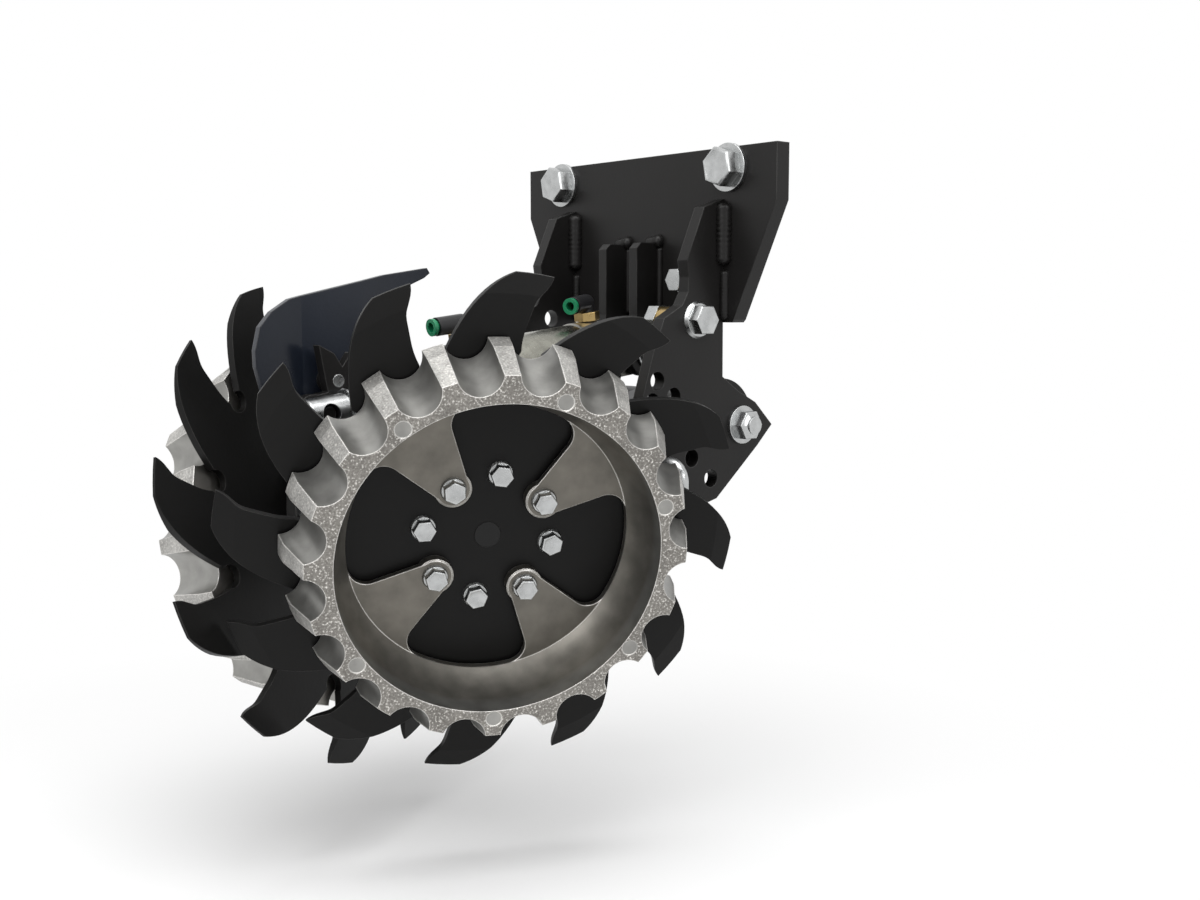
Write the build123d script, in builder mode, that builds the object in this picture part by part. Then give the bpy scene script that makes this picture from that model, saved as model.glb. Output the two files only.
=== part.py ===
from build123d import *
import math
import os

os.makedirs("parts", exist_ok=True)

# Sizes are in millimetres and degrees.
# The origin is the middle of the mount plate's rear face at bolt height.
# X is the machine's left, the row cleaner travels along -Y, and Z is up.

# Driving sizes
inch = 25.4
blade_radius = 6.5 * inch
toe = 23.95
camber = 13.16
fit_gap = 0.05
bolt_half = 0.25 * inch
plate_thickness = 12.0
tube_half_length = 75.0
end_play = 1.0
hanger_inner = tube_half_length + end_play
hanger_outer = hanger_inner + 9.5
arm_pivot = (7.2, -178.5)
arm_slope = 0.2225
rear_pin_place = (-25.0, -129.5)
rod_pin_place = (-277.5, -161.1)

# The cast wheel's front face is at depth 0 and depths grow inward along the axle.
wheel_centre_x = 114.1
wheel_centres = {"left": (-224.5, -246.1), "right": (-251.5, -251.9)}
first_tips = {"left": -17.8, "right": -9.0}
first_lugs = {"left": 0.6, "right": 3.0}
hands = {"left": 1, "right": -1}


def save(part, name):
    part.label = name
    export_step(part, f"parts/{name}.step")


def sine(angle):
    return math.sin(math.radians(angle))


def cosine(angle):
    return math.cos(math.radians(angle))


def wheel_place(side):
    hand = hands[side]
    centre_y, centre_z = wheel_centres[side]
    outward = (hand * cosine(toe) * cosine(camber), -sine(toe) * cosine(camber), -sine(camber))
    level = (hand * sine(toe), cosine(toe), 0)
    return Plane(origin=(hand * wheel_centre_x, centre_y, centre_z), x_dir=level, z_dir=outward)


def spot(radius, angle, hand):
    # A point on the wheel, the angle turning clockwise from the top as seen from outside.
    return (radius * sine(angle), hand * radius * cosine(angle))


def bearing_of(angle, hand):
    return hand * (90 - angle)


# Bolts of the wheel: flange heads on one circle, long ones on the fingers, short ones on the disc.
wheel_bolt_circle = 40.75
finger_start = -35.4
short_start = 9.2
shank_radius = 4.0
flange_radius = 8.3
flange_height = 1.8
head_across = 12.7
head_height = 7.5
nut_height = 6.5
hex_side = 2 / math.sqrt(3)

# Toothed disc
disc_depth = 45.0
disc_thickness = 5.0
tooth_count = 12
tooth_pitch = 360 / tooth_count
tip_land = 8.1
gullet_radius = 0.648 * blade_radius
gullet_turn = 1.6
bevel_radius = 0.924 * blade_radius
bevel_drop = 0.64 * disc_thickness

# Points of a tooth's two edges: a share of the blade radius and a turn from the tip.
hook_edge = [(0.715, -4.4), (0.787, -4.4), (0.854, -3.6), (0.913, -2.7), (0.942, -1.5), (1, 0)]
back_edge = [(1, -tip_land), (0.927, -15), (0.821, -21.5), (0.713, -27.7)]
plug_radius = 8.5


def tooth_spot(point, tip, hand):
    share, turn = point
    return spot(share * blade_radius, tip + turn, hand)


def toothed_disc(side):
    hand = hands[side]
    with BuildPart() as disc:
        with BuildSketch(Plane.XY.offset(-disc_depth - disc_thickness)):
            with BuildLine():
                for tooth in range(tooth_count):
                    tip = first_tips[side] - tooth * tooth_pitch
                    next_tip = tip - tooth_pitch
                    hook = [tooth_spot(point, tip, hand) for point in hook_edge]
                    back = [tooth_spot(point, tip, hand) for point in back_edge]
                    crown = spot(blade_radius, tip - tip_land / 2, hand)
                    gullet = spot(gullet_radius, next_tip - gullet_turn, hand)
                    Spline(hook)
                    ThreePointArc(hook[-1], crown, back[0])
                    Spline(back)
                    ThreePointArc(back[-1], gullet, tooth_spot(hook_edge[0], next_tip, hand))
            make_face()
            Circle(plug_radius + fit_gap, mode=Mode.SUBTRACT)
            for start in (finger_start, short_start):
                with PolarLocations(wheel_bolt_circle, 4, start_angle=bearing_of(start, hand)):
                    Circle(shank_radius + fit_gap, mode=Mode.SUBTRACT)
        extrude(amount=disc_thickness)
        outside = blade_radius + 1
        edge_drop = bevel_drop * (outside - bevel_radius) / (blade_radius - bevel_radius)
        with BuildSketch(Plane.XZ):
            with BuildLine():
                Polyline(
                    (bevel_radius, -disc_depth),
                    (outside, -disc_depth - edge_drop),
                    (outside, -disc_depth + 1),
                    (bevel_radius, -disc_depth + 1),
                    close=True,
                )
            make_face()
        revolve(axis=Axis.Z, mode=Mode.SUBTRACT)
    return disc.part


# Cast wheel with round grooves between its lugs and four inward fingers
lug_count = 20
lug_pitch = 360 / lug_count
rim_front_radius = 115.5
rim_back_radius = 127.0
rim_back = disc_depth - 2.5
rim_bend = (125.0, 0.68 * rim_back)
cove_front_radius = 98.5
cove_back_radius = 88.0
cove_waist = (97.0, 0.47 * rim_back)
finger_face = disc_depth - 7
groove_radius = 13.8
groove_bottom = 104.0
groove_rise = 11.0
finger_end_radius = 10.5
finger_root_half = 26.0
finger_fillet = 12.0
finger_boss_radius = 11.5
finger_relief = 0.5
pad_lugs = (1, 4, 7, 10, 13, 18)
pad_ring_radius = 104.0
pad_radius = 5.0
pad_depth = 0.5


def rim_groove():
    # One round groove, open to the outside, that rises to the back as the lugs do.
    lean = math.atan2(groove_rise, rim_back)
    centre = groove_bottom + groove_radius / math.cos(lean)
    along = Plane(
        origin=(centre, 0, 0),
        x_dir=(math.cos(lean), 0, math.sin(lean)),
        z_dir=(-math.sin(lean), 0, math.cos(lean)),
    )
    with BuildPart() as groove:
        with BuildSketch(along.offset(groove_radius)):
            Circle(groove_radius)
            with Locations((groove_radius, 0)):
                Rectangle(2 * groove_radius, 2 * groove_radius)
        extrude(amount=-rim_back - 2 * groove_radius)
    return groove.part


def floater_wheel(side):
    hand = hands[side]
    first_groove = first_lugs[side] + lug_pitch / 2
    groove = rim_groove()
    with BuildPart() as wheel:
        with BuildSketch(Plane.XZ):
            with BuildLine():
                Polyline(
                    (cove_front_radius, 0),
                    (rim_front_radius, 0),
                    (rim_bend[0], -rim_bend[1]),
                    (rim_back_radius, -rim_back),
                    (cove_back_radius, -rim_back),
                    (cove_back_radius, -finger_face),
                )
                ThreePointArc(
                    (cove_back_radius, -finger_face),
                    (cove_waist[0], -cove_waist[1]),
                    (cove_front_radius, 0),
                )
            make_face()
        revolve(axis=Axis.Z)
        with PolarLocations(0, lug_count, start_angle=bearing_of(first_groove, hand)):
            add(groove, mode=Mode.SUBTRACT)
        with BuildSketch(Plane.XY.offset(-rim_back)) as web:
            Circle(cove_back_radius + 4)
            Circle(cove_back_radius, mode=Mode.SUBTRACT)
            with PolarLocations(0, 4, start_angle=bearing_of(finger_start, hand)):
                Polygon(
                    (wheel_bolt_circle, -finger_end_radius),
                    (cove_back_radius + 2, -finger_root_half),
                    (cove_back_radius + 2, finger_root_half),
                    (wheel_bolt_circle, finger_end_radius),
                    align=None,
                )
            with PolarLocations(wheel_bolt_circle, 4, start_angle=bearing_of(finger_start, hand)):
                Circle(finger_end_radius)
            corners = [
                vertex
                for vertex in web.vertices()
                if abs(math.hypot(vertex.X, vertex.Y) - cove_back_radius) < 0.1
            ]
            fillet(corners, radius=finger_fillet)
        extrude(amount=rim_back - finger_face)
        with PolarLocations(wheel_bolt_circle, 4, start_angle=bearing_of(finger_start, hand)):
            with Locations((0, 0, -disc_depth)):
                Cylinder(
                    finger_boss_radius,
                    disc_depth - finger_face - finger_relief,
                    align=(Align.CENTER, Align.CENTER, Align.MIN),
                )
                Cylinder(shank_radius + fit_gap, 3 * disc_depth, mode=Mode.SUBTRACT)
        for lug in pad_lugs:
            with Locations(spot(pad_ring_radius, first_lugs[side] + lug * lug_pitch, hand)):
                Cylinder(pad_radius, 2 * pad_depth, mode=Mode.SUBTRACT)
    return wheel.part


# Hub, bearing and seal
hub_front = disc_depth + disc_thickness
hub_flange_radius = 51.0
hub_flange_back = hub_front + 8
hub_body_radius = 30.0
hub_round = 2.0
nut_room_radius = 18.5
bearing_radius = 23.5
bearing_front = hub_front + 12
bearing_back = bearing_front + 20.6
hub_back = bearing_back + 7.4
spindle_radius = 10.0
shoulder_radius = 14.0


def hub(side):
    hand = hands[side]
    with BuildPart() as body:
        with BuildSketch(Plane.XZ):
            with BuildLine():
                Polyline(
                    (nut_room_radius, -hub_front),
                    (hub_flange_radius, -hub_front),
                    (hub_flange_radius, -hub_flange_back),
                    (hub_body_radius + hub_round, -hub_flange_back),
                    (hub_body_radius, -hub_flange_back - hub_round),
                    (hub_body_radius, -hub_back + hub_round),
                    (hub_body_radius - hub_round, -hub_back),
                    (bearing_radius + fit_gap, -hub_back),
                    (bearing_radius + fit_gap, -bearing_front),
                    (nut_room_radius, -bearing_front),
                    close=True,
                )
            make_face()
        revolve(axis=Axis.Z)
        for start in (finger_start, short_start):
            with PolarLocations(wheel_bolt_circle, 4, start_angle=bearing_of(start, hand)):
                Cylinder(shank_radius + fit_gap, 3 * hub_back, mode=Mode.SUBTRACT)
    return body.part


def bearing():
    shield_inner = shoulder_radius
    shield_outer = bearing_radius - 4
    shield_depth = 1.0
    with BuildPart() as body:
        with BuildSketch(Plane.XY.offset(-bearing_back)):
            Circle(bearing_radius)
            Circle(spindle_radius + fit_gap, mode=Mode.SUBTRACT)
        extrude(amount=bearing_back - bearing_front)
        for depth in (bearing_back, bearing_front + shield_depth):
            with BuildSketch(Plane.XY.offset(-depth)):
                Circle(shield_outer)
                Circle(shield_inner, mode=Mode.SUBTRACT)
            extrude(amount=shield_depth, mode=Mode.SUBTRACT)
    return body.part


def hub_seal():
    seal_width = 5.0
    seal_setback = 0.5
    with BuildPart() as body:
        with BuildSketch(Plane.XY.offset(-hub_back + seal_setback)):
            Circle(bearing_radius)
            Circle(shoulder_radius + fit_gap, mode=Mode.SUBTRACT)
        extrude(amount=seal_width)
    return body.part


def disc_plug():
    proud = 0.5
    with BuildPart() as body:
        with BuildSketch(Plane.XY.offset(-hub_front)):
            Circle(plug_radius)
        extrude(amount=disc_thickness + proud)
        chamfer(body.edges().group_by(Axis.Z)[-1], length=0.8 * proud)
    return body.part


def flange_bolts(side, start, seat_depth):
    hand = hands[side]
    nut_end = hub_flange_back + nut_height + 0.5
    with BuildPart() as bolts:
        with PolarLocations(wheel_bolt_circle, 4, start_angle=bearing_of(start, hand)):
            with Locations((0, 0, -seat_depth)):
                Cylinder(flange_radius, flange_height, align=(Align.CENTER, Align.CENTER, Align.MIN))
                Cylinder(
                    shank_radius,
                    nut_end - seat_depth,
                    align=(Align.CENTER, Align.CENTER, Align.MAX),
                )
        with BuildSketch(Plane.XY.offset(-seat_depth + flange_height)):
            with PolarLocations(wheel_bolt_circle, 4, start_angle=bearing_of(start, hand)):
                RegularPolygon(head_across / 2 * hex_side, 6)
        extrude(amount=head_height - flange_height)
    return bolts.part


def flange_nuts(side):
    hand = hands[side]
    with BuildPart() as nuts:
        with BuildSketch(Plane.XY.offset(-hub_flange_back)):
            for start in (finger_start, short_start):
                with PolarLocations(wheel_bolt_circle, 4, start_angle=bearing_of(start, hand)):
                    RegularPolygon(head_across / 2 * hex_side, 6)
                    Circle(shank_radius + fit_gap, mode=Mode.SUBTRACT)
        extrude(amount=-nut_height)
    return nuts.part


for side in hands:
    place = wheel_place(side).location
    save(place * toothed_disc(side), f"{side}_toothed_disc")
    save(place * floater_wheel(side), f"{side}_floater_wheel")
    save(place * hub(side), f"{side}_hub")
    save(place * bearing(), f"{side}_bearing")
    save(place * hub_seal(), f"{side}_hub_seal")
    save(place * disc_plug(), f"{side}_disc_plug")
    save(place * flange_bolts(side, finger_start, finger_face), f"{side}_long_bolts")
    save(place * flange_bolts(side, short_start, disc_depth), f"{side}_short_bolts")
    save(place * flange_nuts(side), f"{side}_flange_nuts")

# Spindles, welded into the arm, and their nuts
nut_gap = 0.3
spindle_nut_height = 9.2
spindle_nut_across = 30.0
spindle_front = bearing_front - spindle_nut_height - 1.3
shoulder_front = bearing_back + nut_gap
spindle_back = hub_back + 27


def spindle():
    with BuildPart() as body:
        with BuildSketch(Plane.XY.offset(-spindle_back)):
            Circle(shoulder_radius)
        extrude(amount=spindle_back - shoulder_front)
        with BuildSketch(Plane.XY.offset(-shoulder_front)):
            Circle(spindle_radius)
        extrude(amount=shoulder_front - spindle_front)
        chamfer(body.edges().group_by(Axis.Z)[-1], length=1)
    return body.part


def spindle_nut():
    with BuildPart() as body:
        with BuildSketch(Plane.XY.offset(-bearing_front + nut_gap)):
            RegularPolygon(spindle_nut_across / 2 * hex_side, 6)
            Circle(spindle_radius + fit_gap, mode=Mode.SUBTRACT)
        extrude(amount=spindle_nut_height)
    return body.part


nuts = []
for side in hands:
    place = wheel_place(side).location
    save(place * spindle(), f"{side}_spindle")
    nuts.append(place * spindle_nut())
save(Compound(children=nuts), "spindle_nuts")


def spindle_socket(side):
    with BuildPart() as cutter:
        with BuildSketch(wheel_place(side).offset(-spindle_back - fit_gap)):
            Circle(shoulder_radius + fit_gap)
        extrude(amount=spindle_back - shoulder_front)
    return cutter.part


# Arm: a sloping bar on a pivot tube that turns on a sleeve between the hangers
bar_half_width = 16.0
bar_half_height = 22.5
bar_front = -223.0
pivot_tube_radius = 22.25
bushing_radius = 16.0
sleeve_radius = bolt_half + 6.35
bushing_length = 0.4 * tube_half_length
bushing_flange_radius = 20.0
upright_inner = -13.0
upright_outer = upright_inner - 8
upright_width = 36.0
upright_middle = -206.0
boss_height = 6.5
pivot_y, pivot_z = arm_pivot
pin_y, pin_z = rod_pin_place


def bar_height(y):
    return pivot_z + arm_slope * (y - pivot_y)


def upright_outline():
    return [
        (-188, bar_height(-188) - 20),
        (-188, bar_height(-188) + bar_half_height),
        (-222, -188),
        (-247, -150),
        (-250.1, -124.1),
        (-256.6, -133.2),
        (-262.4, -124.5),
        (-272.9, -119.2),
        (-267.3, -149.1),
        (pin_y, -151),
        (pin_y, pin_z - 10),
        (-264, -187),
        (-232, -228),
        (-226, -240),
        (-214, -243),
    ]


rod_pin_radius = 5.0
deflector_bolt_places = [(-259.5, -142), (-244, -166)]

with BuildPart() as arm_bar:
    with BuildSketch(Plane.YZ):
        lean = bar_half_height * math.hypot(1, arm_slope)
        with BuildLine():
            Polyline(
                (pivot_y, bar_height(pivot_y) - lean),
                (pivot_y, bar_height(pivot_y) + lean),
                (bar_front, bar_height(bar_front) + lean),
                (bar_front, bar_height(bar_front) - lean + 6),
                (bar_front + 6, bar_height(bar_front) - lean),
                close=True,
            )
        make_face()
    extrude(amount=bar_half_width, both=True)
    with BuildSketch(Plane.YZ):
        with Locations(arm_pivot):
            Circle(pivot_tube_radius + fit_gap)
    extrude(amount=bar_half_width + 1, both=True, mode=Mode.SUBTRACT)
    for side in hands:
        add(spindle_socket(side), mode=Mode.SUBTRACT)
    with BuildSketch(Plane.YZ.offset(upright_inner + fit_gap)):
        with Locations((upright_middle, bar_height(upright_middle))):
            Rectangle(upright_width + 2 * fit_gap, 4 * bar_half_height)
    extrude(amount=-bar_half_width, mode=Mode.SUBTRACT)
save(arm_bar.part, "arm_bar")

with BuildPart() as pivot_tube:
    with BuildSketch(Plane.YZ):
        with Locations(arm_pivot):
            Circle(pivot_tube_radius)
            Circle(bushing_radius + fit_gap, mode=Mode.SUBTRACT)
    extrude(amount=tube_half_length, both=True)
save(pivot_tube.part, "pivot_tube")

with BuildPart() as pivot_bushings:
    for hand in (1, -1):
        with BuildSketch(Plane.YZ.offset(hand * (tube_half_length - bushing_length))):
            with Locations(arm_pivot):
                Circle(bushing_radius)
                Circle(sleeve_radius + fit_gap, mode=Mode.SUBTRACT)
        extrude(amount=hand * bushing_length)
        with BuildSketch(Plane.YZ.offset(hand * tube_half_length)):
            with Locations(arm_pivot):
                Circle(bushing_flange_radius)
                Circle(sleeve_radius + fit_gap, mode=Mode.SUBTRACT)
        extrude(amount=hand * 0.9 * end_play)
save(pivot_bushings.part, "pivot_bushings")

with BuildPart() as rod_upright:
    with BuildSketch(Plane.YZ.offset(upright_outer)):
        with BuildLine():
            Polyline(*upright_outline(), close=True)
        make_face()
        with Locations(rod_pin_place):
            Circle(rod_pin_radius + 6)
            Circle(rod_pin_radius + fit_gap, mode=Mode.SUBTRACT)
        with Locations(*deflector_bolt_places):
            Circle(shank_radius + fit_gap, mode=Mode.SUBTRACT)
    extrude(amount=upright_inner - upright_outer)
    with BuildSketch(Plane.YZ.offset(upright_outer)):
        with Locations(*deflector_bolt_places):
            Circle(2 * shank_radius)
            Circle(shank_radius + fit_gap, mode=Mode.SUBTRACT)
    extrude(amount=-boss_height)
    add(spindle_socket("right"), mode=Mode.SUBTRACT)
save(rod_upright.part, "rod_upright")

rod_pin_end = 7.0

with BuildPart() as rod_pin:
    with BuildSketch(Plane.YZ.offset(upright_outer)):
        with Locations(rod_pin_place):
            Circle(rod_pin_radius)
    extrude(amount=rod_pin_end - upright_outer)
    with BuildSketch(Plane.YZ.offset(upright_outer)):
        with Locations(rod_pin_place):
            Circle(rod_pin_radius + 3)
    extrude(amount=-3)
    chamfer(rod_pin.edges().group_by(Axis.X)[-1], length=0.8)
save(rod_pin.part, "rod_pin")

# Bent sheet beside the rod
sheet_thickness = 5.0
sheet_inner = upright_outer - boss_height
sheet_bends = [(-170, -6), (-233, 0), (-277, 0), (-318, 10)]


def deflector_outline():
    return [
        (-307.6, -150),
        (-313.1, -132.4),
        (-313.5, -121.8),
        (-309.7, -107.7),
        (-300.7, -98.4),
        (-286.1, -90.3),
        (-214.5, -74.2),
        (-179, -68.9),
        (-176.6, -72.3),
        (-181.5, -75.7),
        (-193.6, -80.6),
        (-228.6, -95.3),
        (-236, -104),
        (-234, -172),
        (-254, -176),
        (-268, -150),
        (-285, -156),
    ]


with BuildPart() as deflector:
    with BuildSketch(Plane.XY.offset(-60)):
        with BuildLine():
            inner = [(sheet_inner + shift, y) for y, shift in sheet_bends]
            outer = [(x - sheet_thickness, y) for x, y in reversed(inner)]
            Polyline(*inner, *outer, close=True)
        make_face()
    extrude(amount=-130)
    with BuildSketch(Plane.YZ.offset(-60)):
        with BuildLine():
            Polyline(*deflector_outline(), close=True)
        make_face()
        with Locations(*deflector_bolt_places):
            Circle(shank_radius + fit_gap, mode=Mode.SUBTRACT)
    extrude(amount=60, mode=Mode.INTERSECT)
save(deflector.part, "deflector")

with BuildPart() as deflector_bolts:
    with BuildSketch(Plane.YZ.offset(sheet_inner - sheet_thickness)):
        with Locations(*deflector_bolt_places):
            RegularPolygon(head_across / 2 * hex_side, 6)
    extrude(amount=-5.5)
    with BuildSketch(Plane.YZ.offset(sheet_inner - sheet_thickness)):
        with Locations(*deflector_bolt_places):
            Circle(shank_radius)
    extrude(amount=upright_inner - sheet_inner + sheet_thickness)
save(deflector_bolts.part, "deflector_bolts")

# Stop plate on the pivot tube, its slot running round the stop pin
stop_pin_place = (-74.0, -199.0)
stop_pin_radius = 4.3
stop_plate_outer = hanger_inner - 10
stop_plate_inner = stop_plate_outer - 8
stop_reach = math.dist(arm_pivot, stop_pin_place)
rise_y = stop_pin_place[0] - arm_pivot[0]
rise_z = stop_pin_place[1] - arm_pivot[1]
stop_angle = 360 + math.degrees(math.atan2(rise_z, rise_y))
swing_down = 8.0
swing_up = 12.0
slot_arc = CenterArc(arm_pivot, stop_reach, stop_angle - swing_down - 3, swing_down + swing_up + 6)

with BuildPart() as stop_plate:
    with BuildSketch(Plane.YZ.offset(stop_plate_inner)):
        with Locations(arm_pivot):
            Circle(32)
        low = stop_angle + swing_up + 12
        high = stop_angle - swing_down - 12
        with BuildLine():
            reach = stop_reach + 12
            start = (pivot_y + reach * cosine(low), pivot_z + reach * sine(low))
            middle = (pivot_y + reach * cosine(stop_angle), pivot_z + reach * sine(stop_angle))
            end = (pivot_y + reach * cosine(high), pivot_z + reach * sine(high))
            ThreePointArc(start, middle, end)
            Polyline(end, (pivot_y, pivot_z + 30), (pivot_y, pivot_z - 30), start)
        make_face()
        SlotArc(slot_arc, 2 * stop_pin_radius + 2, mode=Mode.SUBTRACT)
        with Locations(arm_pivot):
            Circle(pivot_tube_radius + fit_gap, mode=Mode.SUBTRACT)
    extrude(amount=stop_plate_outer - stop_plate_inner)
save(stop_plate.part, "stop_plate")

# Mount plate and the pieces fixed to it
mount_bolt_x = 90.5
mount_bolt_radius = 5 / 16 * inch
plate_outline = [(134, 14), (134, -24), (96, -104), (94, -106)]
plate_bolt_place = (46, -76)

with BuildPart() as mount_plate:
    with BuildSketch(Plane.XZ):
        with BuildLine():
            mirrored = [(-x, z) for x, z in reversed(plate_outline)]
            Polyline(*plate_outline, *mirrored, close=True)
        make_face()
        with Locations((mount_bolt_x, 0), (-mount_bolt_x, 0)):
            Circle(mount_bolt_radius + 0.4, mode=Mode.SUBTRACT)
        with Locations(plate_bolt_place):
            Circle(bolt_half + fit_gap, mode=Mode.SUBTRACT)
    extrude(amount=plate_thickness)
save(mount_plate.part, "mount_plate")

hanger_outline = [
    (-12, -21),
    (-31.2, -27.4),
    (-47.2, -63.6),
    (-45.4, -75),
    (-46, -85.2),
    (-51.1, -94),
    (-67.8, -102.7),
    (-77.1, -123.9),
    (-87.1, -155.6),
    (-95, -181),
    (-95, -204),
    (-78, -227),
    (-60, -231),
    (-24.8, -231.4),
    (-16.7, -229.4),
    (24.5, -194.5),
    (39.5, -180.1),
    (21.9, -163.2),
    (4.5, -154.6),
    (-11.8, -143.8),
    (-12, -106),
]
spare_holes = [(-73.9, -144.8), (-58.6, -156), (-78.5, -159), (-41.2, -199.2), (-22.5, -214.7)]
cross_bolt_place = (-36.7, -104.1)


def hanger(hand):
    with BuildPart() as body:
        with BuildSketch(Plane.YZ.offset(hand * hanger_inner)):
            with BuildLine():
                Polyline(*hanger_outline, close=True)
            make_face()
            with Locations(*spare_holes):
                Circle(6.3, mode=Mode.SUBTRACT)
            with Locations(arm_pivot, cross_bolt_place):
                Circle(bolt_half + fit_gap, mode=Mode.SUBTRACT)
            with Locations(stop_pin_place):
                Circle(stop_pin_radius + fit_gap, mode=Mode.SUBTRACT)
        extrude(amount=hand * (hanger_outer - hanger_inner))
    return body.part


save(hanger(1), "left_hanger")
save(hanger(-1), "right_hanger")

ear_inner = 13.0
ear_outer = 21.0

with BuildPart() as clevis_ears:
    for hand in (1, -1):
        with BuildSketch(Plane.YZ.offset(hand * ear_inner)):
            with BuildLine():
                Polyline(
                    (-12, -49),
                    (-31, -49),
                    (-35, -53),
                    (-35, -101),
                    (-41, -129.5),
                    (-9, -129.5),
                    (-12, -106.5),
                    close=True,
                )
            make_face()
            with Locations(rear_pin_place):
                Circle(16)
                Circle(bolt_half + fit_gap, mode=Mode.SUBTRACT)
        extrude(amount=hand * (ear_outer - ear_inner))
save(clevis_ears.part, "clevis_ears")

with BuildPart() as clevis_pin:
    with BuildSketch(Plane.YZ.offset(-ear_outer)):
        with Locations(rear_pin_place):
            Circle(bolt_half)
    extrude(amount=2 * ear_outer + 6)
    with BuildSketch(Plane.YZ.offset(-ear_outer)):
        with Locations(rear_pin_place):
            Circle(9.5)
    extrude(amount=-4)
    chamfer(clevis_pin.edges().group_by(Axis.X)[-1], length=1)
save(clevis_pin.part, "clevis_pin")

with BuildPart() as clevis_clip:
    with BuildSketch(Plane.YZ.offset(ear_outer + 0.1)):
        with Locations(rear_pin_place):
            Circle(9.5)
            Circle(bolt_half + fit_gap, mode=Mode.SUBTRACT)
    extrude(amount=2)
save(clevis_clip.part, "clevis_clip")

# Two bolts that hold the plate to the machine, and their washers
mount_washer = 3.0
mount_head_across = 15 / 16 * inch
mount_head_turn = 11

mount_washer_radius = 16.5
mount_head_height = 11.0
stud_length = 22.0
mount_shank_radius = mount_bolt_radius - 0.45

with BuildPart() as mount_washers:
    with BuildSketch(Plane.XZ.offset(plate_thickness)):
        with Locations((mount_bolt_x, 0), (-mount_bolt_x, 0)):
            Circle(mount_washer_radius)
            Circle(mount_bolt_radius + 0.2, mode=Mode.SUBTRACT)
    extrude(amount=mount_washer)
save(mount_washers.part, "mount_washers")

with BuildPart() as mount_bolts:
    with BuildSketch(Plane.XZ.offset(plate_thickness + mount_washer)):
        with Locations((mount_bolt_x, 0), (-mount_bolt_x, 0)):
            RegularPolygon(mount_head_across / 2 * hex_side, 6, rotation=mount_head_turn)
    extrude(amount=mount_head_height)
    with BuildSketch(Plane.XZ.offset(plate_thickness + mount_washer)):
        with Locations((mount_bolt_x, 0), (-mount_bolt_x, 0)):
            Circle(mount_shank_radius)
    extrude(amount=-plate_thickness - mount_washer)
    with BuildSketch(Plane.XZ):
        with Locations((mount_bolt_x, 0), (-mount_bolt_x, 0)):
            Circle(mount_bolt_radius)
    extrude(amount=-stud_length)
save(mount_bolts.part, "mount_bolts")

with BuildPart() as plate_bolt:
    with BuildSketch(Plane.XZ.offset(plate_thickness)):
        with Locations(plate_bolt_place):
            Circle(9.5)
    extrude(amount=2)
    with BuildSketch(Plane.XZ.offset(plate_thickness)):
        with Locations(plate_bolt_place):
            RegularPolygon(7.5 * hex_side, 6)
    extrude(amount=10.5)
    with BuildSketch(Plane.XZ.offset(plate_thickness)):
        with Locations(plate_bolt_place):
            Circle(bolt_half)
    extrude(amount=-plate_thickness - 8)
save(plate_bolt.part, "plate_bolt")

# Pivot bolt with its sleeve, washers and lock nut
bolt_head_across = 0.75 * inch
washer_thickness = 2.5

with BuildPart() as pivot_sleeve:
    with BuildSketch(Plane.YZ.offset(-hanger_inner)):
        with Locations(arm_pivot):
            Circle(sleeve_radius)
            Circle(bolt_half + fit_gap, mode=Mode.SUBTRACT)
    extrude(amount=2 * hanger_inner)
save(pivot_sleeve.part, "pivot_sleeve")

with BuildPart() as pivot_washers:
    for hand in (1, -1):
        with BuildSketch(Plane.YZ.offset(hand * hanger_outer)):
            with Locations(arm_pivot):
                Circle(13.5)
                Circle(bolt_half + fit_gap, mode=Mode.SUBTRACT)
        extrude(amount=hand * washer_thickness)
save(pivot_washers.part, "pivot_washers")

with BuildPart() as pivot_bolt:
    with BuildSketch(Plane.YZ.offset(-hanger_outer - washer_thickness)):
        with Locations(arm_pivot):
            RegularPolygon(bolt_head_across / 2 * hex_side, 6)
    extrude(amount=-8)
    with BuildSketch(Plane.YZ.offset(-hanger_outer - washer_thickness)):
        with Locations(arm_pivot):
            Circle(bolt_half)
    extrude(amount=2 * hanger_outer + 2 * washer_thickness + 10)
save(pivot_bolt.part, "pivot_bolt")

with BuildPart() as pivot_nut:
    with BuildSketch(Plane.YZ.offset(hanger_outer + washer_thickness)):
        with Locations(arm_pivot):
            RegularPolygon(bolt_head_across / 2 * hex_side, 6)
            Circle(bolt_half + fit_gap, mode=Mode.SUBTRACT)
    extrude(amount=10)
save(pivot_nut.part, "pivot_nut")

# Cross bolt through the left hanger with a spacer and nut inside it
spacer_inner = 52.0

with BuildPart() as cross_bolt:
    with BuildSketch(Plane.YZ.offset(hanger_outer)):
        with Locations(cross_bolt_place):
            Circle(13)
    extrude(amount=2.5)
    with BuildSketch(Plane.YZ.offset(hanger_outer)):
        with Locations(cross_bolt_place):
            RegularPolygon(bolt_head_across / 2 * hex_side, 6)
    extrude(amount=10.5)
    with BuildSketch(Plane.YZ.offset(hanger_outer)):
        with Locations(cross_bolt_place):
            Circle(bolt_half)
    extrude(amount=spacer_inner - 12 - hanger_outer)
save(cross_bolt.part, "cross_bolt")

with BuildPart() as cross_spacer:
    with BuildSketch(Plane.YZ.offset(spacer_inner)):
        with Locations(cross_bolt_place):
            Circle(9)
            Circle(bolt_half + fit_gap, mode=Mode.SUBTRACT)
    extrude(amount=hanger_inner - spacer_inner)
save(cross_spacer.part, "cross_spacer")

with BuildPart() as cross_nut:
    with BuildSketch(Plane.YZ.offset(spacer_inner)):
        with Locations(cross_bolt_place):
            RegularPolygon(bolt_head_across / 2 * hex_side, 6)
            Circle(bolt_half + fit_gap, mode=Mode.SUBTRACT)
    extrude(amount=-10)
save(cross_nut.part, "cross_nut")

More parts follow.
